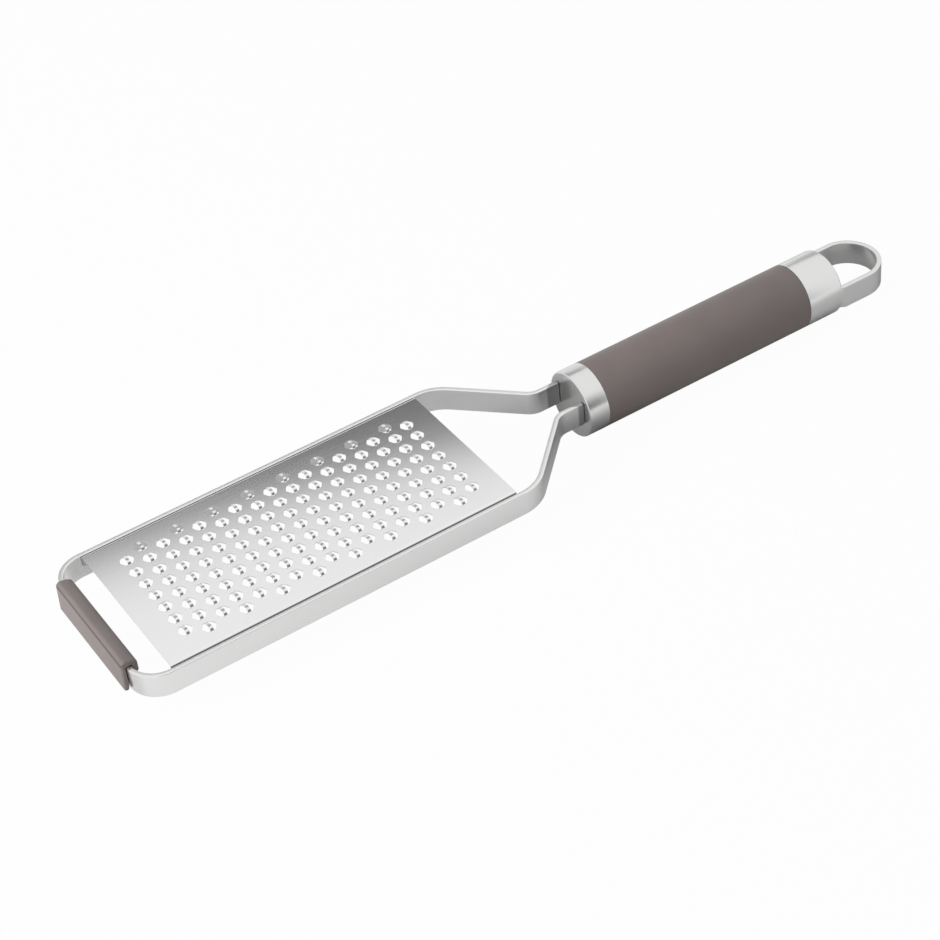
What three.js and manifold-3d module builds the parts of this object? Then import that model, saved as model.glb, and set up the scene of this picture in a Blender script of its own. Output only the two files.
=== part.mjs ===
// Flat hand grater: a bent steel strip carries a toothed blade, and its two tangs enter a round handle.
// Millimetres, +Z up, +X from the front bar to the hanging loop, +Y to the left.

import * as THREE from 'three';
import { mergeGeometries, mergeVertices } from 'three/addons/utils/BufferGeometryUtils.js';
import Module from 'manifold-3d';

// Fit between pieces that touch
const clearance = 0.3;

// Frame strip: flat bar on edge
const frameWidth = 75;
const stripThickness = 2;
const stripHeight = 10;
const stripEdgeRadius = 0.45;
const frontCornerRadius = 12;
const railEnd = 156;
const shoulderRadius = 18;
const shoulderAngle = THREE.MathUtils.degToRad(45);
const tangBendRadius = 6;
const tangLead = 8.4;
const tangShoulder = 1.5;
const tangReach = 42;

// Blade: perforated sheet with folded edges
const sheetThickness = 0.5;
const bladeRise = 0.3;
const foldRadius = 1.2;
const flangeDepth = 5;
const bladeFrontMargin = 0.6;
const bladeRearMargin = 1.4;

// Teeth: staggered six-sided holes, each crossed by a raised arched bridge
const toothWidth = 5;
const columnWeb = 1.64;
const rowWeb = 2.5;
const toothFrontMargin = 12.3;
const toothRearMargin = 9;
const toothSideMargin = 8;
const bridgeLength = 1.2;
const bridgeRise = 1.1;
const bridgeHaunchWidth = 4.2;
const bridgeHaunchRise = 0.75;
const bridgeRooting = 0.35;
const bridgeSink = 0.1;
const bridgeLegInset = 0.3;

// Front bumper: soft sleeve over the front bar
const bumperOuterWall = 2;
const bumperInnerWall = 2.3;
const bumperTopWall = 2.3;
const bumperInnerLeg = 4.2;
const bumperOuterDrop = 0.4;
const bumperShoulderDrop = 1.5;
const bumperLean = 0.5;
const bumperRidgeInset = 2;
const bumperOverhang = 0.5;

// Handle: ferrule, grip, end cap and loop share one outer radius
const gripRadius = 13.5;
const handleDrop = 1.3;
const sleeveWall = 2;
const ferruleLength = 8.8;
const ferruleFace = 1.5;
const ferruleEdgeRadius = 0.7;
const gripLength = 97.2;
const gripEdgeRadius = 0.4;
const capLength = 16.4;
const capEndWall = 6.4;
const capEdgeRadius = 1.2;
const loopReach = 26.5;
const loopThickness = 1.8;
const loopHeight = 9.7;
const loopDrop = 0.65;
const loopFlareRun = 3;
const coreCornerWall = 0.4;
const pinRadius = 1.5;
const pinSetback = 26;

// Facets, and how far a cut runs past the face that it opens
const bendSegments = 4;
const foldSegments = 3;
const roundSegments = 48;
const loopSegments = 12;
const pinSegments = 24;
const holeSides = 6;
const edgeSegments = 2;
const overcut = 2;
const weldDistance = 1e-4;
const quarterTurn = Math.PI / 2;

// Sizes that follow from the ones above
const halfHeight = stripHeight / 2;
const railOuter = frameWidth / 2;
const railInner = railOuter - stripThickness;
const boreRadius = gripRadius - sleeveWall;
const coreRadius = boreRadius - clearance;
const tangHalf = halfHeight - tangShoulder;
const tangCornerHeight = tangHalf + handleDrop + clearance;
const tangOuter = Math.sqrt((coreRadius - coreCornerWall) ** 2 - tangCornerHeight ** 2) - clearance;
const bendDrop = 1 - Math.cos(shoulderAngle);
const slantFall = railOuter - tangOuter - (shoulderRadius + tangBendRadius) * bendDrop;
const slantRun = slantFall / Math.tan(shoulderAngle);
const tangStart = railEnd + (shoulderRadius + tangBendRadius) * Math.sin(shoulderAngle) + slantRun;
const ferruleFront = tangStart + tangLead;
const gripFront = ferruleFront + ferruleLength;
const gripRear = gripFront + gripLength;
const capRear = gripRear + capLength;
const capSocketEnd = capRear - capEndWall;
const loopEnd = capRear + loopReach;
const tangEnd = ferruleFront + tangReach;
const bladeFront = frontCornerRadius + bladeFrontMargin;
const bladeRear = railEnd - bladeRearMargin;
const bladeTop = halfHeight + bladeRise;
const bladeOuter = railInner - clearance;
const holeCorner = toothWidth / Math.sqrt(3);
const columnPitch = 2 * holeCorner + columnWeb;
const rowPitch = toothWidth + rowWeb;
const bumperFront = -(clearance + bumperOuterWall);

const wasm = await Module();
wasm.setup();

// Turns a closed geometry into a solid for joining and cutting
function solid(geometry) {
  const bare = geometry.clone();
  bare.deleteAttribute('normal');
  bare.deleteAttribute('uv');
  const merged = mergeVertices(bare, weldDistance);
  return new wasm.Manifold(new wasm.Mesh({
    numProp: 3,
    vertProperties: new Float32Array(merged.attributes.position.array),
    triVerts: new Uint32Array(merged.index.array),
  }));
}

// Turns a solid back into a geometry
function geometryOf(body) {
  const mesh = body.getMesh();
  const geometry = new THREE.BufferGeometry();
  geometry.setAttribute('position', new THREE.BufferAttribute(mesh.vertProperties, 3));
  geometry.setIndex(new THREE.BufferAttribute(mesh.triVerts, 1));
  return geometry;
}

// A block given by its two corners
function block(low, high) {
  const size = high.clone().sub(low);
  const middle = low.clone().add(high).multiplyScalar(0.5);
  return new THREE.BoxGeometry(size.x, size.y, size.z).translate(middle.x, middle.y, middle.z);
}

// Runs a section drawn across the object, in (Y, Z), along +X from a station
function runAlong(section, start, length) {
  const bar = new THREE.ExtrudeGeometry(section, {
    depth: length,
    bevelEnabled: false,
    curveSegments: foldSegments,
  });
  const turn = new THREE.Matrix4().makeBasis(
    new THREE.Vector3(0, 1, 0),
    new THREE.Vector3(0, 0, 1),
    new THREE.Vector3(1, 0, 0),
  );
  return bar.applyMatrix4(turn).translate(start, 0, 0);
}

// Revolves a profile of (radius, station) points about the handle's axis
function revolve(points) {
  const profile = points.map(([radius, station]) => new THREE.Vector2(radius, station));
  const lathe = new THREE.LatheGeometry(profile, roundSegments);
  return lathe.rotateZ(-quarterTurn).translate(0, 0, -handleDrop);
}

// A quarter round from a start angle on, as (radius, station) points
function quarterRound(radius, station, size, start) {
  const points = [];
  for (let step = 0; step <= edgeSegments; step++) {
    const angle = start + (step / edgeSegments) * quarterTurn;
    points.push([radius + size * Math.cos(angle), station + size * Math.sin(angle)]);
  }
  return points;
}

// A cylinder across the handle where the pin lies, for the pin and for its holes
function crossCylinder(radius, halfLength) {
  const cylinder = new THREE.CylinderGeometry(radius, radius, 2 * halfLength, pinSegments);
  return cylinder.translate(ferruleFront + pinSetback, 0, 0);
}

// Walks one face of the strip from the left tang round the front to the right tang
function stripFace(inset) {
  const rail = railOuter - inset;
  const tang = tangOuter - inset;
  const corner = frontCornerRadius - inset;
  const shoulder = shoulderRadius - inset;
  const bend = tangBendRadius + inset;
  const cornerY = railOuter - frontCornerRadius;
  const shoulderY = railOuter - shoulderRadius;
  const bendY = tangOuter + tangBendRadius;
  const path = new THREE.Path();
  path.moveTo(tangEnd, tang);
  path.lineTo(tangStart, tang);
  path.absarc(tangStart, bendY, bend, -quarterTurn, -quarterTurn - shoulderAngle, true);
  path.absarc(railEnd, shoulderY, shoulder, quarterTurn - shoulderAngle, quarterTurn, false);
  path.lineTo(frontCornerRadius, rail);
  path.absarc(frontCornerRadius, cornerY, corner, quarterTurn, 2 * quarterTurn, false);
  path.absarc(frontCornerRadius, -cornerY, corner, 2 * quarterTurn, 3 * quarterTurn, false);
  path.lineTo(railEnd, -rail);
  path.absarc(railEnd, -shoulderY, shoulder, -quarterTurn, shoulderAngle - quarterTurn, false);
  path.absarc(tangStart, -bendY, bend, quarterTurn + shoulderAngle, quarterTurn, true);
  path.lineTo(tangEnd, -tang);
  return path.getPoints(bendSegments);
}

// Frame strip: two faces close one plan outline, the long edges are rounded, the tangs are necked down
function frameStrip() {
  const outline = new THREE.Shape([...stripFace(0), ...stripFace(stripThickness).reverse()]);
  const bar = new THREE.ExtrudeGeometry(outline, {
    depth: stripHeight - 2 * stripEdgeRadius,
    bevelEnabled: true,
    bevelSize: stripEdgeRadius,
    bevelThickness: stripEdgeRadius,
    bevelOffset: -stripEdgeRadius,
    bevelSegments: edgeSegments,
  }).translate(0, 0, stripEdgeRadius - halfHeight);
  const start = ferruleFront - clearance;
  const end = tangEnd + overcut;
  const side = tangOuter + overcut;
  const past = halfHeight + overcut;
  const above = block(new THREE.Vector3(start, -side, tangHalf), new THREE.Vector3(end, side, past));
  const below = block(new THREE.Vector3(start, -side, -past), new THREE.Vector3(end, side, -tangHalf));
  const pinHoles = crossCylinder(pinRadius + clearance, side);
  const cuts = [above, below, pinHoles].map(solid);
  return geometryOf(cuts.reduce((body, cut) => body.subtract(cut), solid(bar)));
}

// Section of the blade across its width: flat top, two folds, two flanges
function bladeSection() {
  const foldCentre = bladeOuter - foldRadius;
  const foldHeight = bladeTop - foldRadius;
  const innerFold = foldRadius - sheetThickness;
  const innerSide = bladeOuter - sheetThickness;
  const foot = bladeTop - flangeDepth;
  const section = new THREE.Shape();
  section.moveTo(bladeOuter, foot);
  section.absarc(foldCentre, foldHeight, foldRadius, 0, quarterTurn, false);
  section.absarc(-foldCentre, foldHeight, foldRadius, quarterTurn, 2 * quarterTurn, false);
  section.lineTo(-bladeOuter, foot);
  section.lineTo(-innerSide, foot);
  section.absarc(-foldCentre, foldHeight, innerFold, 2 * quarterTurn, quarterTurn, true);
  section.absarc(foldCentre, foldHeight, innerFold, quarterTurn, 0, true);
  section.lineTo(innerSide, foot);
  return section;
}

// Places every tooth: columns follow each other along X, and each second one holds one tooth more
function toothCentres() {
  const run = bladeRear - bladeFront - toothFrontMargin - toothRearMargin;
  const columns = Math.floor(run / columnPitch) + 1;
  const longest = Math.floor(2 * (bladeOuter - toothSideMargin) / rowPitch) + 1;
  const centres = [];
  for (let column = 0; column < columns; column++) {
    const x = bladeFront + toothFrontMargin + column * columnPitch;
    const count = column % 2 === 0 ? longest - 1 : longest;
    for (let row = 0; row < count; row++) {
      centres.push(new THREE.Vector2(x, (row - (count - 1) / 2) * rowPitch));
    }
  }
  return centres;
}

// Hole of one tooth: a hexagon with corners towards the front and the rear
function toothHole() {
  const depth = sheetThickness + 2 * overcut;
  const prism = new THREE.CylinderGeometry(holeCorner, holeCorner, depth, holeSides, 1, false, quarterTurn);
  return prism.rotateX(quarterTurn).translate(0, 0, bladeTop - sheetThickness / 2);
}

// Bridge of one tooth: an arched band across the hole, rooted in the sheet at both ends
function toothBridge() {
  const root = toothWidth / 2 + bridgeRooting;
  const haunch = bridgeHaunchWidth / 2;
  const rootTop = bladeTop - bridgeSink;
  const rootLow = bladeTop - sheetThickness + bridgeSink;
  const haunchTop = bladeTop + bridgeHaunchRise;
  const haunchLow = haunchTop - sheetThickness;
  const crown = bladeTop + bridgeRise;
  const outline = new THREE.Shape();
  outline.moveTo(root, rootTop);
  outline.lineTo(haunch, haunchTop);
  outline.lineTo(0, crown);
  outline.lineTo(-haunch, haunchTop);
  outline.lineTo(-root, rootTop);
  outline.lineTo(bridgeLegInset - root, rootLow);
  outline.lineTo(bridgeLegInset - haunch, haunchLow);
  outline.lineTo(0, crown - sheetThickness);
  outline.lineTo(haunch - bridgeLegInset, haunchLow);
  outline.lineTo(root - bridgeLegInset, rootLow);
  return runAlong(outline, -bridgeLength / 2, bridgeLength);
}

// Blade: folded sheet, less the holes, plus the bridges
function graterBlade() {
  const sheet = runAlong(bladeSection(), bladeFront, bladeRear - bladeFront);
  const hole = toothHole();
  const bridge = toothBridge();
  const centres = toothCentres();
  const holes = mergeGeometries(centres.map(({ x, y }) => hole.clone().translate(x, y, 0)));
  const bridges = mergeGeometries(centres.map(({ x, y }) => bridge.clone().translate(x, y, 0)));
  return geometryOf(solid(sheet).subtract(solid(holes)).add(solid(bridges)));
}

// Bumper: one section pushed along the front bar, long leg outside and short leg inside
function frontBumper() {
  const seatTop = halfHeight + clearance;
  const seatInner = stripThickness + clearance;
  const crown = seatTop + bumperTopWall;
  const shoulder = crown - bumperShoulderDrop;
  const ridge = bumperFront + bumperRidgeInset;
  const back = seatInner + bumperInnerWall;
  const outerHalf = bumperOuterWall / 2;
  const innerHalf = bumperInnerWall / 2;
  const outerFoot = outerHalf - halfHeight - bumperOuterDrop;
  const innerFoot = innerHalf + halfHeight - bumperInnerLeg;
  const section = new THREE.Shape();
  section.moveTo(-clearance, seatTop);
  section.lineTo(-clearance, outerFoot);
  section.absarc(-clearance - outerHalf, outerFoot, outerHalf, 0, -2 * quarterTurn, true);
  section.lineTo(bumperFront + bumperLean, shoulder);
  section.quadraticCurveTo(bumperFront + 2 * bumperLean, crown, ridge, crown);
  section.quadraticCurveTo(back, crown, back, halfHeight);
  section.lineTo(back, innerFoot);
  section.absarc(seatInner + innerHalf, innerFoot, innerHalf, 0, -2 * quarterTurn, true);
  section.lineTo(seatInner, seatTop);
  const length = frameWidth - 2 * frontCornerRadius + 2 * bumperOverhang;
  const sleeve = new THREE.ExtrudeGeometry(section, {
    depth: length,
    bevelEnabled: false,
    curveSegments: bendSegments,
  });
  return sleeve.rotateX(quarterTurn).translate(0, length / 2, 0);
}

// Slots for the two tangs, from one station to another
function tangSlots(start, end) {
  const half = tangHalf + clearance;
  const outer = tangOuter + clearance;
  const inner = tangOuter - stripThickness - clearance;
  const left = block(new THREE.Vector3(start, inner, -half), new THREE.Vector3(end, outer, half));
  const right = block(new THREE.Vector3(start, -outer, -half), new THREE.Vector3(end, -inner, half));
  return solid(mergeGeometries([left, right]));
}

// Ferrule: cup with a flat front wall that the tangs pass through
function frontFerrule() {
  const rear = gripFront - clearance / 2;
  const wallEnd = ferruleFront + ferruleFace;
  const edge = ferruleEdgeRadius;
  const cup = revolve([
    [0, ferruleFront],
    ...quarterRound(gripRadius - edge, ferruleFront + edge, edge, -quarterTurn),
    [gripRadius, rear],
    [boreRadius, rear],
    [boreRadius, wallEnd],
    [0, wallEnd],
  ]);
  return geometryOf(solid(cup).subtract(tangSlots(ferruleFront - overcut, wallEnd + overcut)));
}

// Grip: plain round sleeve with softened ends
function handleGrip() {
  const front = gripFront + clearance / 2;
  const rear = gripRear - clearance / 2;
  const edge = gripEdgeRadius;
  return revolve([
    [boreRadius, front],
    ...quarterRound(gripRadius - edge, front + edge, edge, -quarterTurn),
    ...quarterRound(gripRadius - edge, rear - edge, edge, 0),
    [boreRadius, rear],
    [boreRadius, front],
  ]);
}

// Core: round bar inside the sleeve with a channel for each tang and a hole for the pin
function handleCore() {
  const front = ferruleFront + ferruleFace + clearance;
  const rear = capSocketEnd - clearance;
  const bar = revolve([
    [0, front],
    [coreRadius, front],
    [coreRadius, rear],
    [0, rear],
  ]);
  const channels = tangSlots(front - overcut, tangEnd + clearance);
  const pinHole = solid(crossCylinder(pinRadius + clearance, coreRadius + overcut));
  return geometryOf(solid(bar).subtract(channels).subtract(pinHole));
}

// Pin: crosses the core and both tangs, and stops short of the grip's bore
function tangPin() {
  return crossCylinder(pinRadius, Math.sqrt(coreRadius ** 2 - (pinRadius + handleDrop) ** 2));
}

// Plan outline of the loop: straight sides with a round end
function loopPlan(start, halfWidth, end) {
  const plan = new THREE.Shape();
  plan.moveTo(start, -halfWidth);
  plan.lineTo(end - halfWidth, -halfWidth);
  plan.absarc(end - halfWidth, 0, halfWidth, -quarterTurn, quarterTurn, false);
  plan.lineTo(start, halfWidth);
  return plan;
}

// Raises a plan outline to the loop's height, a little below the handle's axis, and by a margin both ways
function plate(plan, margin) {
  const slab = new THREE.ExtrudeGeometry(plan, {
    depth: loopHeight + 2 * margin,
    bevelEnabled: false,
    curveSegments: loopSegments,
  });
  return solid(slab.translate(0, 0, -handleDrop - loopDrop - loopHeight / 2 - margin));
}

// End cap: round cup whose sides flare into a flat upright strap, the loop to hang it by
function endCap() {
  const front = gripRear + clearance / 2;
  const edge = capEdgeRadius;
  const cup = solid(revolve([
    [0, capSocketEnd],
    [boreRadius, capSocketEnd],
    [boreRadius, front],
    [gripRadius, front],
    ...quarterRound(gripRadius - edge, capRear - edge, edge, 0),
    [0, capRear],
  ]));
  const flareStart = capRear - edge;
  const loopRoot = flareStart - loopThickness;
  const strapCorner = Math.hypot(gripRadius, loopHeight / 2 + loopDrop) + clearance;
  const envelope = solid(revolve([
    [0, loopRoot],
    [gripRadius, loopRoot],
    [gripRadius, flareStart],
    [strapCorner, flareStart + loopFlareRun],
    [strapCorner, loopEnd + overcut],
    [0, loopEnd + overcut],
  ]));
  const band = plate(loopPlan(loopRoot - overcut, gripRadius, loopEnd), 0).intersect(envelope);
  const eyePlan = loopPlan(capRear, gripRadius - loopThickness, loopEnd - loopThickness);
  return geometryOf(cup.add(band).subtract(plate(eyePlan, gripRadius)));
}

const steel = { color: 0xc9c9c9, roughness: 0.3, metalness: 1 };
const satinSteel = { color: 0xbfbfbf, roughness: 0.4, metalness: 1 };
const taupe = { color: 0x6f6562, roughness: 0.6, metalness: 0 };
const softTaupe = { color: 0x857a75, roughness: 0.8, metalness: 0 };
const corePlastic = { color: 0x2e2e30, roughness: 0.6, metalness: 0 };

const grater = new THREE.Group();

function addPiece(name, geometry, look) {
  const mesh = new THREE.Mesh(geometry, new THREE.MeshStandardMaterial(look));
  mesh.name = name;
  grater.add(mesh);
}

addPiece('frame_strip', frameStrip(), steel);
addPiece('grater_blade', graterBlade(), satinSteel);
addPiece('front_bumper', frontBumper(), softTaupe);
addPiece('front_ferrule', frontFerrule(), satinSteel);
addPiece('handle_grip', handleGrip(), taupe);
addPiece('handle_core', handleCore(), corePlastic);
addPiece('tang_pin', tangPin(), steel);
addPiece('end_cap', endCap(), satinSteel);

// The origin is the middle of the underside, where the handle lies on a table
grater.position.set(-(bumperFront + loopEnd) / 2, 0, gripRadius + handleDrop);

export default grater;
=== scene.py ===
# Looks of a flat hand grater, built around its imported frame. Metres, +Z up, +X from front bar to loop.
import math

import bmesh
import bpy
from mathutils import Matrix, Vector


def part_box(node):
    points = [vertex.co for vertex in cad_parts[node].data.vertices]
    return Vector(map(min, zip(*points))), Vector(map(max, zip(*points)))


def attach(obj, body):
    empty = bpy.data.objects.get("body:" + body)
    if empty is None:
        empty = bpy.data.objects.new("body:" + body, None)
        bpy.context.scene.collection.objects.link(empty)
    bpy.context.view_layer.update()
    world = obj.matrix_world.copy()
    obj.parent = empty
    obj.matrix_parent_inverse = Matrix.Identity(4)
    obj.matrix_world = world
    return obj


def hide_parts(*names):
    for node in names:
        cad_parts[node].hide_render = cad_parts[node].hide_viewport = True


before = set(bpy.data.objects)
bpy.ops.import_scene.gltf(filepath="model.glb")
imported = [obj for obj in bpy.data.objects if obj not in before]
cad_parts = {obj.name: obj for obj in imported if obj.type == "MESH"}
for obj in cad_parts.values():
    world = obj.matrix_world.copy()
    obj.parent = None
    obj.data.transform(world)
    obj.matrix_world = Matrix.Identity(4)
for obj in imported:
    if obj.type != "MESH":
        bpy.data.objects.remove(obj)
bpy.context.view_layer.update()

BODY = "root"

# Strip: flat bar on edge, bent in plan
STRIP_THICKNESS = 0.002
STRIP_EDGE = 0.00045
CORNER_RADIUS = 0.012
RAIL_END = 0.156
SHOULDER_RADIUS = 0.018
SHOULDER_ANGLE = math.radians(45)
TANG_BEND_RADIUS = 0.006
TANG_LEAD = 0.0084
TANG_NECK = 0.0015
NECK_GAP = 0.0001
NECK_SLOPE = 0.0002
# Painted shade: the strip darkens towards the ferrule, from further out on the tangs' facing sides
ROOT_SHADE_START = 0.003
ROOT_SHADE_END = 0.0023
ROOT_SHADE_SKEW = 1.5
ROOT_SHADE_COLOUR = (0.44, 0.44, 0.44)

# Blade: folded sheet with staggered teeth
SHEET = 0.0003
FOLD_RADIUS = 0.0012
FOLD_LEAD = 0.0002
FLANGE_DEPTH = 0.005
HOLE_FLATS = 0.005
HOLE_SHARPNESS = 14
COLUMN_WEB = 0.00164
ROW_WEB = 0.0025
TOOTH_FRONT_MARGIN = 0.0123
TOOTH_REAR_MARGIN = 0.009
TOOTH_SIDE_MARGIN = 0.008
BRIDGE_HALF = 0.0006
BRIDGE_RISE = 0.0011
BRIDGE_CREST = -0.0012
BRIDGE_DOME = 75.0
BRIDGE_SLOPE = math.tan(math.radians(62))
BRIDGE_BLEND = 0.0005
TILE_STEPS = 8
BRIDGE_STEPS = 20
BRIDGE_SIDE_STEPS = 2
FOLD_STEPS = 8
TOOTH_ROUGHNESS = 0.18
TOOTH_LIFT = (0.1, 0.4)
# Painted shade: a dark line in the sheet's folds beside the rails
SEAM_SHADE_START = 0.0004
SEAM_SHADE_END = 0.0002
SEAM_SHADE_COLOUR = (0.25, 0.25, 0.25)

# Bumper: soft sleeve over the front bar
BUMPER_OUTER_WALL = 0.002
BUMPER_INNER_WALL = 0.0023
BUMPER_INNER_LEG = 0.0042
BUMPER_SHOULDER_DROP = 0.0013
BUMPER_CREASE = 0.00035
BUMPER_LEAN = 0.0005
BUMPER_RIDGE_INSET = 0.002
BUMPER_RIDGE_FALL = 0.0003
# Painted shade: a dark line along the crease in the bumper's front shoulder
CREASE_SHADE_START = 0.0008
CREASE_SHADE_END = 0.0001
CREASE_SHADE_DEPTH = 0.0015
CREASE_SHADE_COLOUR = (0.12, 0.1, 0.095)
BUMPER_END_ROUND = 0.0008
BUMPER_END_PROFILE = 0.5
FIT = 0.0003

# Handle: turned pieces on one axis
SLEEVE_WALL = 0.002
FERRULE_FACE = 0.0015
FERRULE_EDGE = 0.0007
GRIP_EDGE = 0.0002
GAP_CLOSE = 0.0001
CAP_LENGTH = 0.0164
CAP_SOCKET = 0.01
CAP_EDGE = 0.0012
LOOP_HEIGHT = 0.0101
LOOP_DROP = 0.00085
LOOP_WALL = 0.002
LOOP_EDGE = 0.0003
LOOP_FLARE_RUN = 0.003
LOOP_SINK = 0.00003

# Smoothness
BEND_STEPS = 24
EDGE_STEPS = 5
ROUND_STEPS = 144
LOOP_STEPS = 48
FLARE_STEPS = 12
CURVE_STEPS = 10
BEVEL_STEPS = 4
SHARP = math.radians(38)
WELD = 2e-6

# Finishes: noise, spread of roughness and depth of bumps
WHITE = (1.0, 1.0, 1.0)
NOISE_MIDDLE = (0.3, 0.7)
BRUSH_DETAIL = 4.0
BRUSH_SPREAD = 0.08
BRUSH_DEPTH = 0.00005
GRAIN_DETAIL = 3.0
GRAIN_SPREAD = 0.1
GRAIN_DEPTH = 0.00008
DRIFT_SCALE = 60
DRIFT_DETAIL = 2.0
SHEEN_ROUGHNESS = 0.5

# Studio: floor, fill light and reflector cards, whose azimuth runs from +Y to +X
FLOOR_REACH = 30.0
FLOOR_GREY = 0.72
# Painted shadow: the floor's matte grey darkens around the ferrule's foot
FLOOR_SHADOW = 0.42
FLOOR_SHADOW_NEAR = 0.015
FLOOR_SHADOW_FAR = 0.06
FLOOR_GLOW = 0.97
FLOOR_FRONT_X = -0.2
FLOOR_REAR_X = 0.05
FLOOR_FRONT_WHITE = 0.75
FLOOR_NEAR_Y = 0.02
FLOOR_FAR_Y = 0.14
UNDER_FRONT_X = -0.01
UNDER_REAR_X = 0.03
UNDER_WHITE = 0.31
UNDER_BLUR = 0.006
FILL_STRENGTH = 0.28
CARD_DISTANCE = 3.0
CARD_STEPS = 16

# Camera, from the photograph's square frame of 940 pixels
PHOTO_PIXELS = 940
FOCAL_PIXELS = 2383.675
SENSOR_MM = 36.0
CAMERA_PLACE = Vector((-0.34498, -0.5972, 0.58643))
CAMERA_TURN = -0.500
CAMERA_HEIGHT = 0.706
CAMERA_ROLL = -0.120
CAMERA_REACH = 100.0

# Places that the frame gives
STRIP_LOW, STRIP_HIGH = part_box("frame_strip")
BLADE_LOW, BLADE_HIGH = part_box("grater_blade")
BUMPER_LOW, BUMPER_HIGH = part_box("front_bumper")
FERRULE_LOW, FERRULE_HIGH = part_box("front_ferrule")
GRIP_LOW, GRIP_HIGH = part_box("handle_grip")
CAP_LOW, CAP_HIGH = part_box("end_cap")
HANDLE_RADIUS = GRIP_HIGH.y
BORE_RADIUS = HANDLE_RADIUS - SLEEVE_WALL
AXIS_HEIGHT = (GRIP_LOW.z + GRIP_HIGH.z) / 2
STRIP_MIDDLE = (STRIP_LOW.z + STRIP_HIGH.z) / 2
STRIP_HALF = (STRIP_HIGH.z - STRIP_LOW.z) / 2
BLADE_TOP = BLADE_HIGH.z - BRIDGE_RISE
COLUMN_PITCH = 2 * HOLE_FLATS / math.sqrt(3) + COLUMN_WEB
ROW_PITCH = HOLE_FLATS + ROW_WEB
CAP_REAR = CAP_LOW.x + CAP_LENGTH - FIT / 2
TANG_START = FERRULE_LOW.x - TANG_LEAD


def arc(centre, radius, start, end, steps):
    """Points of an arc from one angle to another, both ends included."""
    angles = [start + (end - start) * step / steps for step in range(steps + 1)]
    return [(centre[0] + radius * math.cos(a), centre[1] + radius * math.sin(a)) for a in angles]


def new_piece(name, node, points, faces, material):
    """A smooth-shaded mesh that rides on the body and stands for a CAD node."""
    mesh = bpy.data.meshes.new(name)
    mesh.from_pydata(points, [], faces)
    piece = bpy.data.objects.new(name, mesh)
    bpy.context.scene.collection.objects.link(piece)
    bm = bmesh.new()
    bm.from_mesh(mesh)
    bmesh.ops.remove_doubles(bm, verts=bm.verts, dist=WELD)
    bmesh.ops.recalc_face_normals(bm, faces=bm.faces)
    bm.to_mesh(mesh)
    bm.free()
    smooth(piece)
    mesh.materials.append(material)
    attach(piece, BODY)
    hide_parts(node)
    return piece


def smooth(piece):
    """Smooth shading that keeps sharp edges."""
    piece.data.shade_smooth()
    piece.data.set_sharp_from_angle(angle=SHARP)


def apply_modifiers(piece):
    """Replaces a piece's mesh by what its modifiers make of it."""
    graph = bpy.context.evaluated_depsgraph_get()
    made = bpy.data.meshes.new_from_object(piece.evaluated_get(graph))
    old = piece.data
    piece.modifiers.clear()
    piece.data = made
    bpy.data.meshes.remove(old)
    made.name = piece.name


def combine(piece, points, faces, operation):
    """Joins another closed shape to a piece, or cuts it away."""
    mesh = bpy.data.meshes.new("shape")
    mesh.from_pydata(points, [], faces)
    bm = bmesh.new()
    bm.from_mesh(mesh)
    bmesh.ops.recalc_face_normals(bm, faces=bm.faces)
    bm.to_mesh(mesh)
    bm.free()
    other = bpy.data.objects.new("shape", mesh)
    bpy.context.scene.collection.objects.link(other)
    step = piece.modifiers.new("step", "BOOLEAN")
    step.operation = operation
    step.solver = "EXACT"
    step.object = other
    apply_modifiers(piece)
    bpy.data.objects.remove(other)
    bpy.data.meshes.remove(mesh)
    smooth(piece)


def block(low, high):
    """Points and faces of a box between two corners."""
    rings = []
    for x in (low[0], high[0]):
        corners = ((low[1], low[2]), (high[1], low[2]), (high[1], high[2]), (low[1], high[2]))
        rings.append([(x, y, z) for y, z in corners])
    return loft(rings)


def loft(rings, closed_path=False):
    """Points and faces of a skin over closed rings, with flat caps at the ends of an open path."""
    count = len(rings[0])
    points = [point for ring in rings for point in ring]
    faces = []
    spans = len(rings) if closed_path else len(rings) - 1
    for row in range(spans):
        here = row * count
        there = (row + 1) % len(rings) * count
        for i in range(count):
            j = (i + 1) % count
            faces.append((here + i, here + j, there + j, there + i))
    if not closed_path:
        faces.append(tuple(range(count)))
        faces.append(tuple(range(len(points) - 1, len(points) - count - 1, -1)))
    return points, faces


def lathe(profile):
    """Turns a closed profile of (radius, station) about the handle's axis."""
    rings = []
    for step in range(ROUND_STEPS):
        angle = 2 * math.pi * step / ROUND_STEPS
        side, up = math.cos(angle), math.sin(angle)
        rings.append([(x, r * side, AXIS_HEIGHT + r * up) for r, x in profile])
    return loft(rings, closed_path=True)


def node_setup(name):
    """A material with its node tree and its shader."""
    material = bpy.data.materials.new(name)
    material.use_nodes = True
    tree = material.node_tree
    return material, tree, tree.nodes["Principled BSDF"]


def bare_setup(name):
    """A material with an empty node tree and its output."""
    material = bpy.data.materials.new(name)
    material.use_nodes = True
    tree = material.node_tree
    tree.nodes.clear()
    return material, tree, tree.nodes.new("ShaderNodeOutputMaterial")


def ramp(tree, value, start, end, low=0.0, high=1.0, style="LINEAR"):
    """Runs from low to high while a value runs from start to end."""
    node = tree.nodes.new("ShaderNodeMapRange")
    node.interpolation_type = style
    node.inputs["From Min"].default_value = start
    node.inputs["From Max"].default_value = end
    node.inputs["To Min"].default_value = low
    node.inputs["To Max"].default_value = high
    tree.links.new(value, node.inputs["Value"])
    return node.outputs["Result"]


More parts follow.
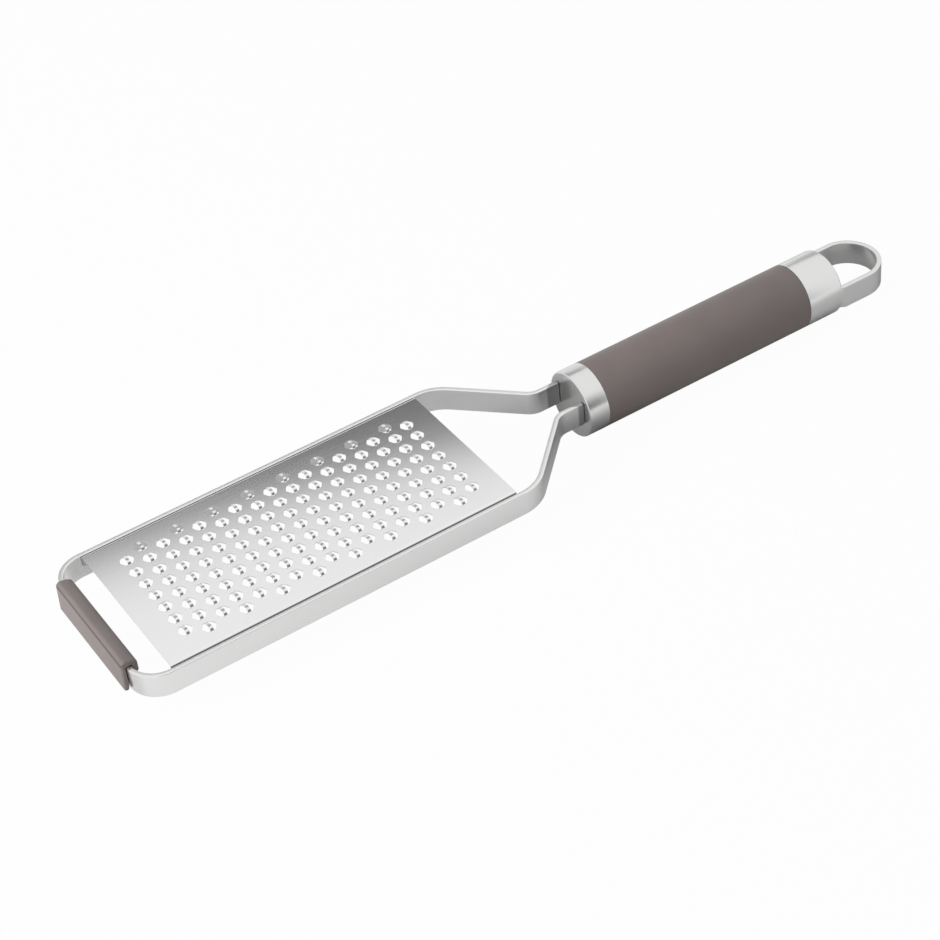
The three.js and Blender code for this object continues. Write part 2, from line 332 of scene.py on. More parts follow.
def reckon(tree, operation, *values):
    """One step of arithmetic on values, each of them a node's output or a number."""
    node = tree.nodes.new("ShaderNodeMath")
    node.operation = operation
    for slot, value in enumerate(values):
        if isinstance(value, bpy.types.NodeSocket):
            tree.links.new(value, node.inputs[slot])
        else:
            node.inputs[slot].default_value = value
    return node.outputs["Value"]


def between(tree, factor, first, second):
    """Runs between two values, each of them a node's output or a number."""
    return reckon(tree, "MULTIPLY_ADD", factor, reckon(tree, "SUBTRACT", second, first), first)


def mixed(tree, factor, first, second):
    """Runs between two colours, the first of them a node's output or a colour."""
    mix = tree.nodes.new("ShaderNodeMix")
    mix.data_type = "RGBA"
    if isinstance(first, bpy.types.NodeSocket):
        tree.links.new(first, mix.inputs["A"])
    else:
        mix.inputs["A"].default_value = (*first, 1)
    mix.inputs["B"].default_value = (*second, 1)
    tree.links.new(factor, mix.inputs["Factor"])
    return mix.outputs["Result"]


def surface_place(tree, kind="Object"):
    """The place on a surface: along X, away from the middle plane, and along Z."""
    source = tree.nodes.new("ShaderNodeTexCoord")
    split = tree.nodes.new("ShaderNodeSeparateXYZ")
    tree.links.new(source.outputs[kind], split.inputs["Vector"])
    return split.outputs["X"], reckon(tree, "ABSOLUTE", split.outputs["Y"]), split.outputs["Z"]


def stretched_noise(tree, scale, detail):
    """Noise over mapped coordinates, so that it can be drawn out into brush lines."""
    source = tree.nodes.new("ShaderNodeTexCoord")
    mapping = tree.nodes.new("ShaderNodeMapping")
    noise = tree.nodes.new("ShaderNodeTexNoise")
    mapping.inputs["Scale"].default_value = scale
    noise.inputs["Scale"].default_value = 1.0
    noise.inputs["Detail"].default_value = detail
    tree.links.new(source.outputs["Object"], mapping.inputs["Vector"])
    tree.links.new(mapping.outputs["Vector"], noise.inputs["Vector"])
    return noise.outputs["Fac"]


def ranged(tree, noise, low, high):
    """Spreads the middle of a noise over a range."""
    return ramp(tree, noise, *NOISE_MIDDLE, low, high)


def spread(tree, noise, middle, share):
    """Spreads a noise over a share to either side of a middle value."""
    return ranged(tree, noise, middle * (1 - share), middle * (1 + share))


def bumped(tree, shader, value, strength, distance):
    """Raises the surface a little by a noise."""
    bump = tree.nodes.new("ShaderNodeBump")
    bump.inputs["Strength"].default_value = strength
    bump.inputs["Distance"].default_value = distance
    tree.links.new(value, bump.inputs["Height"])
    tree.links.new(bump.outputs["Normal"], shader.inputs["Normal"])


def shade(colour, factor):
    """A colour made lighter or darker by a factor."""
    return tuple(channel * factor for channel in colour)


def brushed_steel(name, colour, roughness, scale, contrast, bump):
    """Satin steel whose brush lines run along the axis with the small scale."""
    material, tree, shader = node_setup(name)
    shader.inputs["Metallic"].default_value = 1.0
    lines = stretched_noise(tree, scale, BRUSH_DETAIL)
    drift = ranged(tree, lines, 0, 1)
    colours = mixed(tree, drift, shade(colour, 1 - contrast), shade(colour, 1 + contrast))
    tree.links.new(colours, shader.inputs["Base Color"])
    tree.links.new(spread(tree, lines, roughness, BRUSH_SPREAD), shader.inputs["Roughness"])
    bumped(tree, shader, lines, bump, BRUSH_DEPTH)
    return material


def fed_socket(material, name):
    """A finish's node tree, one input of its shader, and the output that feeds it."""
    socket = material.node_tree.nodes["Principled BSDF"].inputs[name]
    return material.node_tree, socket, socket.links[0].from_socket


def dull_teeth(material):
    """Roughens a sheet's finish where its teeth are pressed up out of the flat."""
    tree, socket, plain = fed_socket(material, "Roughness")
    _, _, height = surface_place(tree)
    lift = ramp(tree, height, *(BLADE_TOP + BRIDGE_RISE * share for share in TOOTH_LIFT))
    tree.links.new(between(tree, lift, plain, TOOTH_ROUGHNESS), socket)


def shaded(material, x_weight, y_weight, start, end, colour):
    """Paints shade into a finish: darkens its colour over a stretch that is measured by X and by the distance
    from the middle plane.
    """
    tree, socket, plain = fed_socket(material, "Base Color")
    x, y, _ = surface_place(tree)
    measure = reckon(tree, "MULTIPLY_ADD", y, y_weight, reckon(tree, "MULTIPLY", x, x_weight))
    tree.links.new(mixed(tree, ramp(tree, measure, start, end), plain, colour), socket)


def paint_crease_shade(material):
    """Paints shade into the bumper's finish: darkens its colour in a thin line along the crease in the front
    shoulder.
    """
    tree, socket, plain = fed_socket(material, "Base Color")
    x, _, height = surface_place(tree)
    away = reckon(tree, "SUBTRACT", height, BUMPER_HIGH.z - BUMPER_SHOULDER_DROP)
    line = ramp(tree, reckon(tree, "ABSOLUTE", away), CREASE_SHADE_START, CREASE_SHADE_END)
    front = ramp(tree, x, BUMPER_LOW.x + CREASE_SHADE_DEPTH, BUMPER_LOW.x + CREASE_SHADE_DEPTH - CREASE_SHADE_START)
    tree.links.new(mixed(tree, reckon(tree, "MULTIPLY", line, front), plain, CREASE_SHADE_COLOUR), socket)


def soft_plastic(name, colour, roughness, grain, contrast=0.05, bump=0.15, sheen=0.0):
    """Matte moulding with a fine even grain and a slight drift of tone."""
    material, tree, shader = node_setup(name)
    shader.inputs["Sheen Weight"].default_value = sheen
    shader.inputs["Sheen Roughness"].default_value = SHEEN_ROUGHNESS
    fine = stretched_noise(tree, (grain,) * 3, GRAIN_DETAIL)
    drift = ranged(tree, stretched_noise(tree, (DRIFT_SCALE,) * 3, DRIFT_DETAIL), 0, 1)
    colours = mixed(tree, drift, shade(colour, 1 - contrast), shade(colour, 1 + contrast))
    tree.links.new(colours, shader.inputs["Base Color"])
    tree.links.new(spread(tree, fine, roughness, GRAIN_SPREAD), shader.inputs["Roughness"])
    bumped(tree, shader, fine, bump, GRAIN_DEPTH)
    return material


def tang_side():
    """Distance of the tangs' outer faces from the middle plane, from the bends that lead to them."""
    both = SHOULDER_RADIUS + TANG_BEND_RADIUS
    slant = TANG_START - STRIP_LOW.x - RAIL_END - both * math.sin(SHOULDER_ANGLE)
    return STRIP_HIGH.y - both * (1 - math.cos(SHOULDER_ANGLE)) - slant * math.tan(SHOULDER_ANGLE)


def strip_stations():
    """Plan of the strip's middle line: place, outward direction and half height at each station."""
    half = STRIP_THICKNESS / 2
    rail = STRIP_HIGH.y
    tang = tang_side()
    rail_end = STRIP_LOW.x + RAIL_END
    quarter = math.pi / 2
    corner_x = STRIP_LOW.x + CORNER_RADIUS
    plan = []

    def bend(centre, outer, start, end, sign):
        for step in range(BEND_STEPS + 1):
            angle = start + (end - start) * step / BEND_STEPS
            ray = Vector((math.cos(angle), math.sin(angle)))
            plan.append((Vector(centre) + ray * (outer - sign * half), ray * sign))

    bend((TANG_START, tang + TANG_BEND_RADIUS), TANG_BEND_RADIUS, -quarter, -quarter - SHOULDER_ANGLE, -1)
    bend((rail_end, rail - SHOULDER_RADIUS), SHOULDER_RADIUS, quarter - SHOULDER_ANGLE, quarter, 1)
    bend((corner_x, rail - CORNER_RADIUS), CORNER_RADIUS, quarter, 2 * quarter, 1)
    mirrored = [(Vector((p.x, -p.y)), Vector((n.x, -n.y))) for p, n in reversed(plan)]
    left, right = Vector((0, 1)), Vector((0, -1))
    face = FERRULE_LOW.x - NECK_GAP
    full, neck = STRIP_HALF, STRIP_HALF - TANG_NECK
    start = [
        (Vector((STRIP_HIGH.x, tang - half)), left, neck),
        (Vector((face, tang - half)), left, neck),
        (Vector((face - NECK_SLOPE, tang - half)), left, full),
    ]
    end = [(Vector((p.x, -p.y)), right, h) for p, _, h in reversed(start)]
    return start + [(p, n, full) for p, n in plan + mirrored] + end


def strip_ring(middle, out, half_height):
    """Rounded section of the strip at one station."""
    half = STRIP_THICKNESS / 2 - STRIP_EDGE
    tall = half_height - STRIP_EDGE
    quarter = math.pi / 2
    outline = []
    for turn, (side, up) in enumerate(((half, tall), (-half, tall), (-half, -tall), (half, -tall))):
        outline += arc((side, up), STRIP_EDGE, turn * quarter, (turn + 1) * quarter, EDGE_STEPS)
    return [(middle.x + out.x * s, middle.y + out.y * s, STRIP_MIDDLE + u) for s, u in outline]


def make_strip(material):
    """Frame strip in one run from the left tang to the right one."""
    rings = [strip_ring(*station) for station in strip_stations()]
    points, faces = loft(rings)
    return new_piece("strip_steel", "frame_strip", points, faces, material)


def hole_ring():
    """Six-sided hole with softened corners, clockwise from the middle of its left side."""
    inset = HOLE_FLATS / 2
    corner = math.pi / 3
    band = math.atan2(inset, BRIDGE_HALF)
    steps = TILE_STEPS // 2
    right = [math.pi / 2, (math.pi / 2 + band) / 2, band, (band + corner) / 2]
    right += [corner * part / steps for part in range(steps, 0, -1)]
    right += [0.0] + [-angle for angle in reversed(right[1:])]
    half = []
    for angle in right:
        sides = [abs(math.cos(angle - normal) / inset) for normal in (math.pi / 2, math.pi / 6, -math.pi / 6)]
        radius = sum(side ** HOLE_SHARPNESS for side in sides) ** (-1 / HOLE_SHARPNESS)
        half.append((radius * math.cos(angle), radius * math.sin(angle)))
    return half + [(-x, -y) for x, y in half]


def tile_ring():
    """Edge of one tooth's tile, point for point with the hole."""
    half_x, half_y = COLUMN_PITCH / 2, ROW_PITCH / 2
    step_x, step_y = COLUMN_PITCH / TILE_STEPS, ROW_PITCH / TILE_STEPS
    ring = [(i * step_x, half_y) for i in range(TILE_STEPS // 2)]
    ring += [(half_x, half_y - i * step_y) for i in range(TILE_STEPS)]
    ring += [(half_x - i * step_x, -half_y) for i in range(TILE_STEPS)]
    ring += [(-half_x, i * step_y - half_y) for i in range(TILE_STEPS)]
    return ring + [(i * step_x - half_x, half_y) for i in range(TILE_STEPS // 2)]


def bridge_height(y, root):
    """Height of the arched bridge: steep legs that blend into a low dome."""
    leg = (root - abs(y)) * BRIDGE_SLOPE
    dome = BRIDGE_RISE - BRIDGE_DOME * (y - BRIDGE_CREST) ** 2
    blend = max(BRIDGE_BLEND - abs(leg - dome), 0) ** 2 / (4 * BRIDGE_BLEND)
    return min(leg, dome) - blend


def add_tooth(points, faces, centre_x, centre_y):
    """One tile of the sheet with its hole and its arched bridge."""
    tile, hole = tile_ring(), hole_ring()
    count = len(tile)
    base = len(points)

    def put(x, y, z=0.0):
        points.append((centre_x + x, centre_y + y, BLADE_TOP + z))
        return len(points) - 1

    for x, y in tile + hole:
        put(x, y)
    for i in range(count):
        j = (i + 1) % count
        faces.append((base + i, base + j, base + count + j, base + count + i))
    width = range(-BRIDGE_SIDE_STEPS, BRIDGE_SIDE_STEPS + 1)
    rows = [[base + count + i % count for i in width]]
    for row in range(1, BRIDGE_STEPS):
        across = math.cos(math.pi * row / BRIDGE_STEPS)
        line = []
        for i in width:
            x, root = hole[i % count]
            line.append(put(x, root * across, bridge_height(root * across, root)))
        rows.append(line)
    rows.append([base + count + count // 2 - i for i in width])
    for upper, lower in zip(rows, rows[1:]):
        for i in range(2 * BRIDGE_SIDE_STEPS):
            faces.append((upper[i], upper[i + 1], lower[i + 1], lower[i]))


def add_grid(points, faces, stations, section):
    """A skin over stations along X of one section across the blade."""
    base = len(points)
    for x in stations:
        points.extend((x, y, z) for y, z in section)
    width = len(section)
    for row in range(len(stations) - 1):
        for i in range(width - 1):
            here = base + row * width + i
            faces.append((here, here + 1, here + width + 1, here + width))


def blade_side(start):
    """Section from the last tooth's tile out over the fold and down the flange."""
    fold_y = BLADE_HIGH.y - FOLD_RADIUS
    fold_z = BLADE_TOP - FOLD_RADIUS
    flat = [(start, BLADE_TOP), (fold_y - FOLD_LEAD, BLADE_TOP)]
    fold = arc((fold_y, fold_z), FOLD_RADIUS, math.pi / 2, 0, FOLD_STEPS)
    return flat + fold + [(BLADE_HIGH.y, BLADE_TOP - FLANGE_DEPTH)]


def make_blade(material):
    """Toothed sheet with folded sides, as one skin that is then given its thickness."""
    points, faces = [], []
    step_x, step_y = COLUMN_PITCH / TILE_STEPS, ROW_PITCH / TILE_STEPS
    run = BLADE_HIGH.x - BLADE_LOW.x - TOOTH_FRONT_MARGIN - TOOTH_REAR_MARGIN
    columns = int(run / COLUMN_PITCH) + 1
    longest = int(2 * (BLADE_HIGH.y - TOOTH_SIDE_MARGIN) / ROW_PITCH) + 1
    first = BLADE_LOW.x + TOOTH_FRONT_MARGIN
    edge = longest * ROW_PITCH / 2
    for column in range(columns):
        x = first + column * COLUMN_PITCH
        count = longest - 1 if column % 2 == 0 else longest
        for row in range(count):
            add_tooth(points, faces, x, (row - (count - 1) / 2) * ROW_PITCH)
        stations = [x - COLUMN_PITCH / 2 + i * step_x for i in range(TILE_STEPS + 1)]
        inner = count * ROW_PITCH / 2
        for sign in (1, -1):
            if count < longest:
                ledge = [(sign * (inner + i * step_y), BLADE_TOP) for i in range(TILE_STEPS // 2 + 1)]
                add_grid(points, faces, stations, ledge)
            add_grid(points, faces, stations, [(sign * y, z) for y, z in blade_side(edge)])
    across = [(i * step_y - edge, BLADE_TOP) for i in range(longest * TILE_STEPS + 1)]
    side = blade_side(edge)
    whole = [(-y, z) for y, z in reversed(side)] + across[1:-1] + side
    toothed = first + (columns - 0.5) * COLUMN_PITCH
    for start, end in ((BLADE_LOW.x, first - COLUMN_PITCH / 2), (toothed, BLADE_HIGH.x)):
        add_grid(points, faces, [start, (start + end) / 2, end], whole)
    piece = new_piece("toothed_blade", "grater_blade", points, faces, material)
    face_up(piece)
    thicken = piece.modifiers.new("thickness", "SOLIDIFY")
    thicken.thickness = SHEET
    thicken.offset = -1.0
    thicken.use_even_offset = True
    apply_modifiers(piece)
    smooth(piece)
    return piece


def face_up(piece):
    """Turns an open sheet so that its flat part faces up."""
    highest = max(piece.data.polygons, key=lambda face: abs(face.normal.z) * face.area)
    if highest.normal.z < 0:
        piece.data.flip_normals()


def bumper_section():
    """U section of the sleeve in (X, Z), long leg outside and short leg inside."""
    seat_top = STRIP_HIGH.z + FIT
    seat_front = STRIP_LOW.x - FIT
    seat_back = STRIP_LOW.x + STRIP_THICKNESS + FIT
    front, back, crown = BUMPER_LOW.x, BUMPER_HIGH.x, BUMPER_HIGH.z
    outer_half = BUMPER_OUTER_WALL / 2
    inner_half = BUMPER_INNER_WALL / 2
    outer_foot = BUMPER_LOW.z + outer_half
    inner_foot = STRIP_HIGH.z - BUMPER_INNER_LEG + inner_half
    shoulder = Vector((front + BUMPER_LEAN, crown - BUMPER_SHOULDER_DROP))
    brow = shoulder + Vector((BUMPER_CREASE / 3, BUMPER_CREASE / 2))
    ridge = Vector((front + BUMPER_RIDGE_INSET, crown))
    heel = Vector((back, STRIP_HIGH.z))
    outline = [(seat_front, seat_top), (seat_front, outer_foot)]
    outline += arc((seat_front - outer_half, outer_foot), outer_half, 0, -math.pi, BEND_STEPS // 2)[1:]
    outline += [(shoulder.x, shoulder.y - BUMPER_CREASE / 2), (shoulder.x + BUMPER_CREASE, shoulder.y)]
    outline += curve(brow, Vector((brow.x + BUMPER_LEAN, crown - BUMPER_RIDGE_FALL)), ridge)
    outline += curve(ridge, Vector((back, crown - 2 * BUMPER_RIDGE_FALL)), heel)[1:]
    outline += arc((seat_back + inner_half, inner_foot), inner_half, 0, -math.pi, BEND_STEPS // 2)
    outline += [(seat_back, seat_top)]
    return outline


def curve(start, control, end):
    """Points of a quadratic curve."""
    points = []
    for step in range(CURVE_STEPS + 1):
        t = step / CURVE_STEPS
        spot = start * (1 - t) ** 2 + control * 2 * t * (1 - t) + end * t ** 2
        points.append((spot.x, spot.y))
    return points


def on_seat(edge):
    """Whether an edge of the sleeve lies on the groove that takes the bar."""
    low, high = STRIP_LOW.x - FIT - WELD, STRIP_LOW.x + STRIP_THICKNESS + FIT + WELD
    return all(low < v.co.x < high and v.co.z < STRIP_HIGH.z + FIT + WELD for v in edge.verts)


def make_bumper(material):
    """Soft sleeve over the front bar, with rounded ends."""
    rings = [[(x, y, z) for x, z in bumper_section()] for y in (BUMPER_LOW.y, BUMPER_HIGH.y)]
    points, faces = loft(rings)
    piece = new_piece("soft_bumper", "front_bumper", points, faces, material)
    bm = bmesh.new()
    bm.from_mesh(piece.data)
    ends = [e for e in bm.edges if abs(e.verts[0].co.y - e.verts[1].co.y) < WELD and not on_seat(e)]
    bmesh.ops.bevel(bm, geom=ends, offset=BUMPER_END_ROUND, segments=BEVEL_STEPS,
                    profile=BUMPER_END_PROFILE, affect="EDGES")
    bmesh.ops.remove_doubles(bm, verts=bm.verts, dist=WELD)
    bm.to_mesh(piece.data)
    bm.free()
    smooth(piece)
    return piece


def rounded(radius, station, size, start):
    """A quarter round of a turned profile as (radius, station) points."""
    return [(radius + a, station + b) for a, b in arc((0, 0), size, start, start + math.pi / 2, EDGE_STEPS)]


def make_ferrule(material):
    """Steel cup with a slot for each tang."""
    quarter = math.pi / 2
    front, rear = FERRULE_LOW.x, FERRULE_HIGH.x + GAP_CLOSE
    wall = front + FERRULE_FACE
    profile = [(0, front),
               *rounded(HANDLE_RADIUS - FERRULE_EDGE, front + FERRULE_EDGE, FERRULE_EDGE, -quarter),
               (HANDLE_RADIUS, rear), (BORE_RADIUS, rear), (BORE_RADIUS, wall), (0, wall)]
    points, faces = lathe(profile)
    piece = new_piece("turned_ferrule", "front_ferrule", points, faces, material)
    outer = tang_side() + FIT
    inner = tang_side() - STRIP_THICKNESS - FIT
    low, high = STRIP_LOW.z + TANG_NECK - FIT, STRIP_HIGH.z - TANG_NECK + FIT
    for near, far in ((inner, outer), (-outer, -inner)):
        slot_points, slot_faces = block((front - FERRULE_FACE, near, low), (wall + FERRULE_FACE, far, high))
        combine(piece, slot_points, slot_faces, "DIFFERENCE")
    return piece


def make_grip(material):
    """Round sleeve with slightly eased ends."""
    quarter = math.pi / 2
    front, rear = GRIP_LOW.x - GAP_CLOSE, GRIP_HIGH.x + GAP_CLOSE
    profile = [(BORE_RADIUS, front),
               *rounded(HANDLE_RADIUS - GRIP_EDGE, front + GRIP_EDGE, GRIP_EDGE, -quarter),
               *rounded(HANDLE_RADIUS - GRIP_EDGE, rear - GRIP_EDGE, GRIP_EDGE, 0),
               (BORE_RADIUS, rear)]
    points, faces = lathe(profile)
    return new_piece("soft_grip", "handle_grip", points, faces, material)


def loop_ring(x, ray, outer_at):
    """Rounded section of the loop's strap, set off along a plan direction from a point of the axis."""
    quarter = math.pi / 2
    inner = HANDLE_RADIUS - LOOP_WALL
    top = LOOP_HEIGHT / 2 - LOOP_DROP - LOOP_EDGE
    foot = -LOOP_HEIGHT / 2 - LOOP_DROP + LOOP_EDGE
    climb = [foot + (top - foot) * step / EDGE_STEPS for step in range(EDGE_STEPS + 1)]
    spots = [(outer_at(z), z) for z in climb]
    spots += arc((outer_at(top) - LOOP_EDGE, top), LOOP_EDGE, 0, quarter, EDGE_STEPS)[1:]
    spots += arc((inner + LOOP_EDGE, top), LOOP_EDGE, quarter, 2 * quarter, EDGE_STEPS)
    spots += arc((inner + LOOP_EDGE, foot), LOOP_EDGE, 2 * quarter, 3 * quarter, EDGE_STEPS)
    spots += arc((outer_at(foot) - LOOP_EDGE, foot), LOOP_EDGE, 3 * quarter, 4 * quarter, EDGE_STEPS)[:-1]
    return [(x + ray.x * out, ray.y * out, AXIS_HEIGHT + z) for out, z in spots]


def strap_side(x):
    """Outer face of the strap at a station: round like the cap at its root, then flaring into a flat wall."""
    start = CAP_REAR - CAP_EDGE
    way = min(1.0, max(0.0, (x - start) / LOOP_FLARE_RUN))
    root = HANDLE_RADIUS - LOOP_SINK
    corner = math.hypot(HANDLE_RADIUS, LOOP_HEIGHT / 2 + LOOP_DROP)
    reach = root + (corner - root) * way * way * (3 - 2 * way)
    return lambda z: min(HANDLE_RADIUS, math.sqrt(reach * reach - z * z))


def loop_rings():
    """Sections of the strap from the left side round the end to the right side."""
    flare = CAP_REAR - CAP_EDGE
    bend_x = CAP_HIGH.x - HANDLE_RADIUS
    runs = [flare - LOOP_WALL] + [flare + LOOP_FLARE_RUN * i / FLARE_STEPS for i in range(FLARE_STEPS + 1)]
    left = [loop_ring(x, Vector((0, 1)), strap_side(x)) for x in runs]
    right = [loop_ring(x, Vector((0, -1)), strap_side(x)) for x in reversed(runs)]
    bend = []
    for step in range(LOOP_STEPS + 1):
        angle = math.pi / 2 - math.pi * step / LOOP_STEPS
        bend.append(loop_ring(bend_x, Vector((math.cos(angle), math.sin(angle))), strap_side(bend_x)))
    return left + bend + right


def make_cap(material):
    """Steel cap with the hanging loop joined to it."""
    front = CAP_LOW.x - GAP_CLOSE
    socket = CAP_LOW.x + CAP_SOCKET
    profile = [(0, socket), (BORE_RADIUS, socket), (BORE_RADIUS, front), (HANDLE_RADIUS, front),
               *rounded(HANDLE_RADIUS - CAP_EDGE, CAP_REAR - CAP_EDGE, CAP_EDGE, 0), (0, CAP_REAR)]
    points, faces = lathe(profile)
    piece = new_piece("looped_cap", "end_cap", points, faces, material)
    strap_points, strap_faces = loft(loop_rings())
    combine(piece, strap_points, strap_faces, "UNION")
    return piece


def pale_floor():
    """Pale floor: white to the eye, and to metal white at the front and to the sides, matte by the handle,
    where a painted shadow darkens its matte grey around the ferrule's foot.
    """
    material, tree, out = bare_setup("pale_floor")
    path = tree.nodes.new("ShaderNodeLightPath").outputs
    x, y, _ = surface_place(tree)
    outside = ramp(tree, x, FLOOR_FRONT_X, FLOOR_REAR_X, FLOOR_FRONT_WHITE, 0)
    beneath = ramp(tree, x, UNDER_FRONT_X, UNDER_REAR_X, UNDER_WHITE, 0)
    along = between(tree, ramp(tree, y, BLADE_HIGH.y - UNDER_BLUR, BLADE_HIGH.y), beneath, outside)
    across = ramp(tree, y, FLOOR_NEAR_Y, FLOOR_FAR_Y, 0, FLOOR_GLOW, "SMOOTHSTEP")
    metal = reckon(tree, "MULTIPLY", between(tree, across, along, 1), path["Is Glossy Ray"])
    seen = reckon(tree, "MAXIMUM", path["Is Camera Ray"], path["Is Transmission Ray"])
    share = reckon(tree, "MAXIMUM", reckon(tree, "MULTIPLY", seen, FLOOR_GLOW), metal)
    # Painted shadow on the floor around the ferrule's foot
    foot = reckon(tree, "SUBTRACT", x, FERRULE_LOW.x)
    away = reckon(tree, "SQRT", reckon(tree, "MULTIPLY_ADD", foot, foot, reckon(tree, "MULTIPLY", y, y)))
    floor_shadow_tone = ramp(tree, away, FLOOR_SHADOW_NEAR, FLOOR_SHADOW_FAR, FLOOR_SHADOW, FLOOR_GREY, "SMOOTHSTEP")
    matte = tree.nodes.new("ShaderNodeBsdfDiffuse")
    white = tree.nodes.new("ShaderNodeEmission")
    blend = tree.nodes.new("ShaderNodeMixShader")
    white.inputs["Color"].default_value = (*WHITE, 1)
    tree.links.new(floor_shadow_tone, matte.inputs["Color"])
    tree.links.new(share, blend.inputs["Fac"])
    tree.links.new(matte.outputs["BSDF"], blend.inputs[1])
    tree.links.new(white.outputs["Emission"], blend.inputs[2])
    tree.links.new(blend.outputs["Shader"], out.inputs["Surface"])
    return material


def make_world():
    """White studio: white to the eye and to metal, and a soft fill light for the rest."""
    world = bpy.data.worlds.new("studio")
    bpy.context.scene.world = world
    world.use_nodes = True
    tree = world.node_tree
    tree.nodes.clear()
    path = tree.nodes.new("ShaderNodeLightPath").outputs
    fill = tree.nodes.new("ShaderNodeBackground")
    white = tree.nodes.new("ShaderNodeBackground")
    blend = tree.nodes.new("ShaderNodeMixShader")
    out = tree.nodes.new("ShaderNodeOutputWorld")
    fill.inputs["Color"].default_value = (*WHITE, 1)
    fill.inputs["Strength"].default_value = FILL_STRENGTH
    white.inputs["Color"].default_value = (*WHITE, 1)
    white.inputs["Strength"].default_value = 1.0
    seen = reckon(tree, "MAXIMUM", path["Is Camera Ray"], path["Is Transmission Ray"])
    tree.links.new(reckon(tree, "MAXIMUM", seen, path["Is Glossy Ray"]), blend.inputs["Fac"])
    tree.links.new(fill.outputs["Background"], blend.inputs[1])
    tree.links.new(white.outputs["Background"], blend.inputs[2])
    tree.links.new(blend.outputs["Shader"], out.inputs["Surface"])


def add_stage(name, points, faces, material):
    """A mesh that belongs to the studio and not to the object."""
    mesh = bpy.data.meshes.new(name)
    mesh.from_pydata(points, [], faces)
    thing = bpy.data.objects.new(name, mesh)
    bpy.context.scene.collection.objects.link(thing)
    mesh.materials.append(material)
    return thing


def make_floor():
    """Wide flat floor at table height."""
    corners = [(-1, -1), (1, -1), (1, 1), (-1, 1)]
    points = [(x * FLOOR_REACH, y * FLOOR_REACH, 0) for x, y in corners]
    add_stage("floor", points, [(0, 1, 2, 3)], pale_floor())


def grey_card(name, sides, tops, greys, shades_over, fade_from):
    """A curved card for reflections, shaded from foot to top and fading out at its handle side."""
    material, tree, out = bare_setup(name)
    glow = tree.nodes.new("ShaderNodeEmission")
    side, _, height = surface_place(tree, "Generated")
    foot, top = ((grey, grey, grey) for grey in greys)
    shades = mixed(tree, ramp(tree, height, *shades_over), foot, top)
    faded = mixed(tree, ramp(tree, side, fade_from, 1), shades, WHITE)
    tree.links.new(faded, glow.inputs["Color"])
    tree.links.new(glow.outputs["Emission"], out.inputs["Surface"])
    points, faces = [], []
    for step in range(CARD_STEPS + 1):
        way = step / CARD_STEPS
        azimuth = math.radians(sides[0] + (sides[1] - sides[0]) * way)
        climb = math.radians(tops[0] + (tops[1] - tops[0]) * way)
        x, y = CARD_DISTANCE * math.sin(azimuth), CARD_DISTANCE * math.cos(azimuth)
        points += [(x, y, 0), (x, y, CARD_DISTANCE * math.tan(climb))]
    for step in range(CARD_STEPS):
        faces.append((2 * step, 2 * step + 2, 2 * step + 3, 2 * step + 1))
    card = add_stage(name, points, faces, material)
    card.visible_camera = False
    card.visible_diffuse = False
    card.visible_transmission = False
    card.visible_shadow = False


def add_lamp(name, spot, size, power):
    """A square lamp that faces the origin and leaves no reflection."""
    lamp = bpy.data.lights.new(name, "AREA")
    lamp.shape = "SQUARE"
    lamp.size = size
    lamp.energy = power
    holder = bpy.data.objects.new(name, lamp)
    bpy.context.scene.collection.objects.link(holder)
    holder.location = spot
    holder.rotation_euler = (-Vector(spot)).to_track_quat("-Z", "Y").to_euler()
    holder.visible_glossy = False


def make_camera():
    """Camera at the photograph's angle."""
    back = Vector((math.sin(CAMERA_TURN) * math.cos(CAMERA_HEIGHT),
                   -math.cos(CAMERA_TURN) * math.cos(CAMERA_HEIGHT),
                   math.sin(CAMERA_HEIGHT)))
    level = (-back).cross(Vector((0, 0, 1))).normalized()
    upright = level.cross(-back)
    right = level * math.cos(CAMERA_ROLL) + upright * math.sin(CAMERA_ROLL)
    up = upright * math.cos(CAMERA_ROLL) - level * math.sin(CAMERA_ROLL)
    camera = bpy.data.cameras.new("camera")
    camera.sensor_width = SENSOR_MM
    camera.lens = FOCAL_PIXELS / PHOTO_PIXELS * SENSOR_MM
    camera.clip_end = CAMERA_REACH
    holder = bpy.data.objects.new("camera", camera)
    bpy.context.scene.collection.objects.link(holder)
    holder.matrix_world = Matrix.Translation(CAMERA_PLACE) @ Matrix((right, up, back)).transposed().to_4x4()
    bpy.context.scene.camera = holder


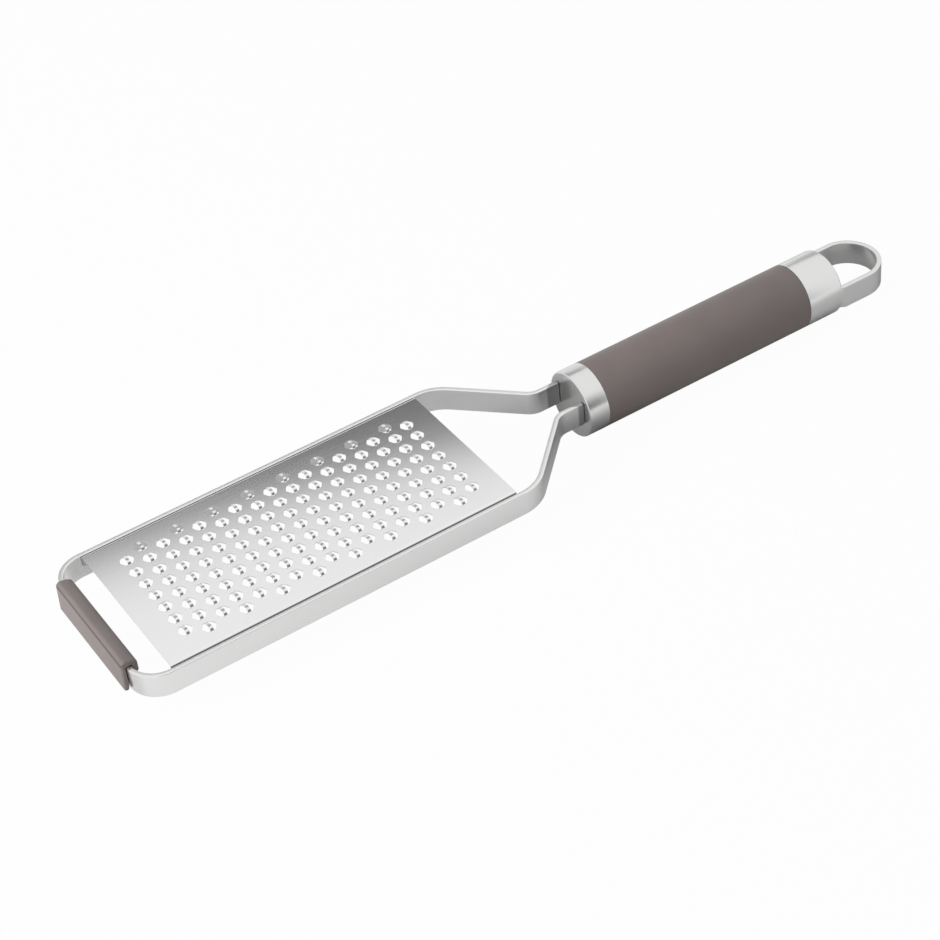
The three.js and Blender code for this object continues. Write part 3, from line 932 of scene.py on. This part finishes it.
def make_object():
    """All pieces with their finishes."""
    strip_finish = brushed_steel("strip_finish", colour=(0.82, 0.82, 0.815), roughness=0.3,
                                 scale=(60, 900, 2500), contrast=0.012, bump=0.02)
    blade_finish = brushed_steel("blade_finish", colour=(0.83, 0.83, 0.83), roughness=0.1,
                                 scale=(40, 2500, 2500), contrast=0.006, bump=0.004)
    turned_finish = brushed_steel("turned_finish", colour=(0.74, 0.74, 0.735), roughness=0.24,
                                  scale=(3500, 60, 60), contrast=0.008, bump=0.008)
    pin_finish = brushed_steel("pin_finish", colour=(0.7, 0.7, 0.69), roughness=0.3,
                               scale=(900, 60, 900), contrast=0.02, bump=0.02)
    grip_finish = soft_plastic("grip_finish", colour=(0.218, 0.181, 0.174), roughness=0.55,
                               grain=4000, sheen=0.1)
    bumper_finish = soft_plastic("bumper_finish", colour=(0.24, 0.203, 0.195), roughness=0.6,
                                 grain=4000, sheen=0.1)
    core_finish = soft_plastic("core_finish", colour=(0.03, 0.03, 0.03), roughness=0.5, grain=3000)
    # Painted shade: the strip darkens towards the ferrule, from further out on the tangs' facing sides
    root = FERRULE_LOW.x - ROOT_SHADE_SKEW * tang_side()
    shaded(strip_finish, x_weight=1, y_weight=-ROOT_SHADE_SKEW,
           start=root - ROOT_SHADE_START, end=root - ROOT_SHADE_END, colour=ROOT_SHADE_COLOUR)
    # Painted shade: a dark line in the blade's folds beside the rails
    shaded(blade_finish, x_weight=0, y_weight=1,
           start=BLADE_HIGH.y - SEAM_SHADE_START, end=BLADE_HIGH.y - SEAM_SHADE_END, colour=SEAM_SHADE_COLOUR)
    dull_teeth(blade_finish)
    # Painted shade: a dark line along the bumper's crease
    paint_crease_shade(bumper_finish)
    make_strip(strip_finish)
    make_blade(blade_finish)
    make_bumper(bumper_finish)
    make_ferrule(turned_finish)
    make_grip(grip_finish)
    make_cap(turned_finish)
    for node, finish in (("handle_core", core_finish), ("tang_pin", pin_finish)):
        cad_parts[node].data.materials.clear()
        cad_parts[node].data.materials.append(finish)


def make_studio():
    """Floor, light, reflector cards and camera."""
    bpy.context.scene.view_settings.view_transform = "Standard"
    make_world()
    make_floor()
    grey_card("far_card", sides=(-30, 34), tops=(44.4, 39.8), greys=(0.9, 0.12),
              shades_over=(0.35, 0.8), fade_from=0.93)
    grey_card("side_card", sides=(34, 62), tops=(26, 24), greys=(0.65, 0.4),
              shades_over=(0.2, 0.9), fade_from=0.9)
    grey_card("near_card", sides=(142, 205), tops=(42, 42), greys=(0.18, 0.9),
              shades_over=(0.3, 1.0), fade_from=0.74)
    add_lamp("top_lamp", spot=(-0.3, 0.3, 2.1), size=2.5, power=11.0)
    add_lamp("front_lamp", spot=(-1.5, 0.0, 0.9), size=0.9, power=22.0)
    make_camera()


make_object()
make_studio()
